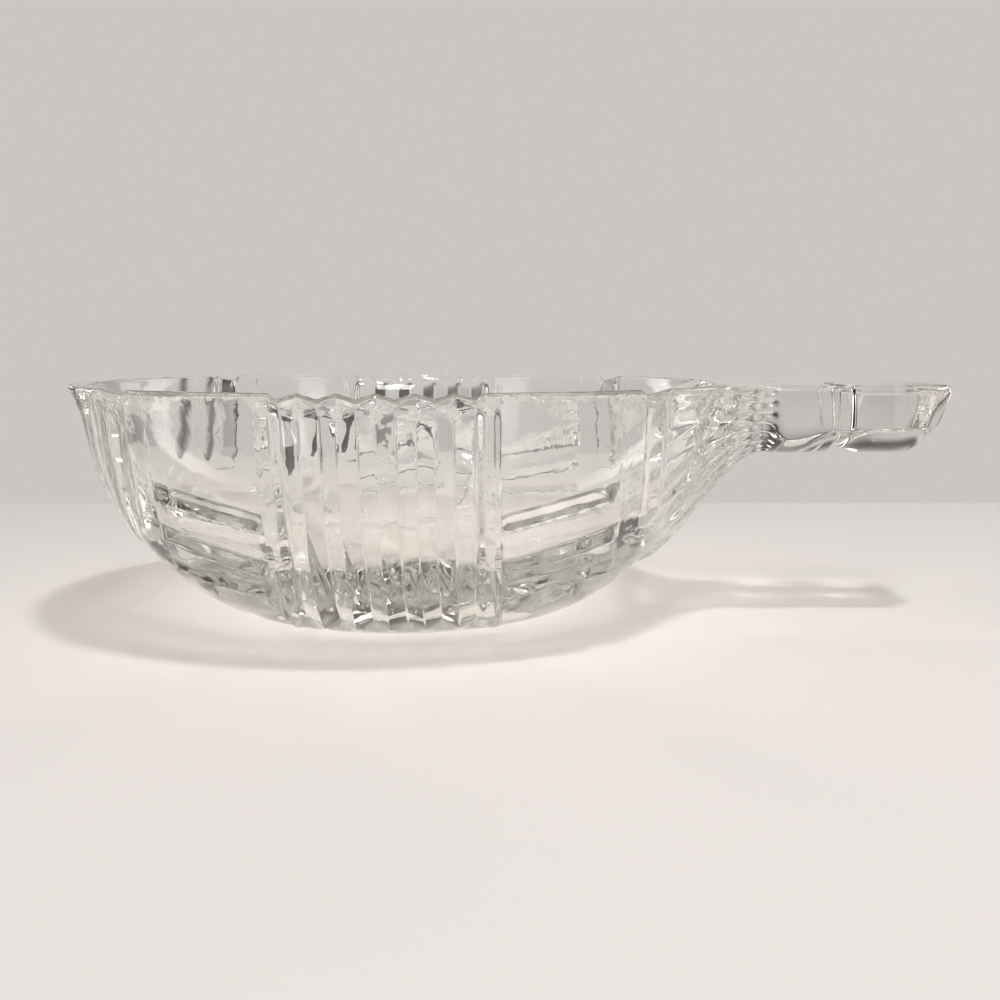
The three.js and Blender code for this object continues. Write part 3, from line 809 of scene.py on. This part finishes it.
def make_room():
    """A pale wall, and what the glass shows of the studio: dark cards, light strips and a ceiling."""
    world = bpy.data.worlds.new("studio")
    bpy.context.scene.world = world
    world.use_nodes = True
    nodes, links = world.node_tree.nodes, world.node_tree.links
    nodes.clear()
    place = nodes.new("ShaderNodeTexCoord")
    split = nodes.new("ShaderNodeSeparateXYZ")
    links.new(place.outputs["Generated"], split.inputs["Vector"])

    def share_of(source, edges):
        share = nodes.new("ShaderNodeMapRange")
        share.interpolation_type = "SMOOTHSTEP"
        share.inputs["From Min"].default_value = edges[0]
        share.inputs["From Max"].default_value = edges[1]
        links.new(source, share.inputs["Value"])
        return share.outputs["Result"]

    def turn_to(before, tone, share):
        mix = nodes.new("ShaderNodeMix")
        mix.data_type = "RGBA"
        mix.inputs["A"].default_value = (*WALL_TONE, 1)
        mix.inputs["B"].default_value = (*tone, 1)
        if before:
            links.new(before, mix.inputs["A"])
        links.new(share, mix.inputs["Factor"])
        return mix.outputs["Result"]

    def math_node(operation, first, second=None):
        step = nodes.new("ShaderNodeMath")
        step.operation = operation
        links.new(first, step.inputs[0])
        if isinstance(second, (int, float)):
            step.inputs[1].default_value = second
        elif second:
            links.new(second, step.inputs[1])
        return step.outputs["Value"]

    def background(tone, strength):
        shader = nodes.new("ShaderNodeBackground")
        shader.inputs["Color"].default_value = (*tone, 1)
        shader.inputs["Strength"].default_value = strength
        return shader

    def choose(before, after, share):
        mix = nodes.new("ShaderNodeMixShader")
        links.new(share, mix.inputs["Fac"])
        links.new(before, mix.inputs[1])
        links.new(after, mix.inputs[2])
        return mix.outputs["Shader"]

    heading = math_node("ARCTAN2", split.outputs["X"], split.outputs["Y"])
    corner = math_node("COSINE", math_node("MULTIPLY", heading, CARD_COUNT))
    from_wall = math_node("MULTIPLY", corner, -1)
    cards = turn_to(None, CARD_TONE, share_of(from_wall, CARD_EDGES))
    upper = turn_to(cards, CARD_TONE, share_of(split.outputs["Z"], DARK_EDGES))
    strips = turn_to(upper, STRIP_TONE, share_of(from_wall, STRIP_EDGES))
    ceiling = turn_to(strips, CEILING_TONE, share_of(split.outputs["Z"], CEILING_EDGES))
    in_glass = background(WALL_TONE, 1)
    links.new(ceiling, in_glass.inputs["Color"])
    backdrop = background(WALL_TONE, 1)
    lighting = background(LIGHT_TONE, LIGHT_STRENGTH)
    path = nodes.new("ShaderNodeLightPath")
    glassy = math_node("MAXIMUM", path.outputs["Is Glossy Ray"], path.outputs["Is Transmission Ray"])
    room = choose(lighting.outputs["Background"], in_glass.outputs["Background"], glassy)
    seen = choose(room, backdrop.outputs["Background"], path.outputs["Is Camera Ray"])
    output = nodes.new("ShaderNodeOutputWorld")
    links.new(seen, output.inputs["Surface"])


def make_lamp(name, place, size, watts):
    """A soft square lamp pointed at the middle of the dish."""
    bpy.ops.object.light_add(type="AREA", location=place)
    lamp = bpy.context.object
    lamp.name = name
    lamp.data.size = size
    lamp.data.energy = watts
    x, y, z = place
    lamp.rotation_euler = (math.atan2(math.hypot(x, y), z), 0, math.atan2(x, -y))


def make_camera():
    bpy.ops.object.camera_add(location=CAMERA_PLACE, rotation=(CAMERA_TILT, 0, 0))
    camera = bpy.context.object
    camera.data.lens = CAMERA_LENS
    camera.data.sensor_width = CAMERA_SENSOR
    camera.data.clip_start = CAMERA_NEAR
    bpy.context.scene.camera = camera


scene = bpy.context.scene
scene.view_settings.view_transform = "Standard"
scene.cycles.max_bounces = LIGHT_BOUNCES
scene.cycles.transmission_bounces = LIGHT_BOUNCES
scene.cycles.glossy_bounces = LIGHT_BOUNCES
scene.cycles.transparent_max_bounces = CLEAR_BOUNCES
scene.cycles.blur_glossy = GLOSS_BLUR

make_camera()
make_table()
make_room()
for lamp_name, (lamp_place, lamp_size, lamp_watts) in LAMPS.items():
    make_lamp(lamp_name, lamp_place, lamp_size, lamp_watts)
clear_glass = make_clear_glass()
make_dish()
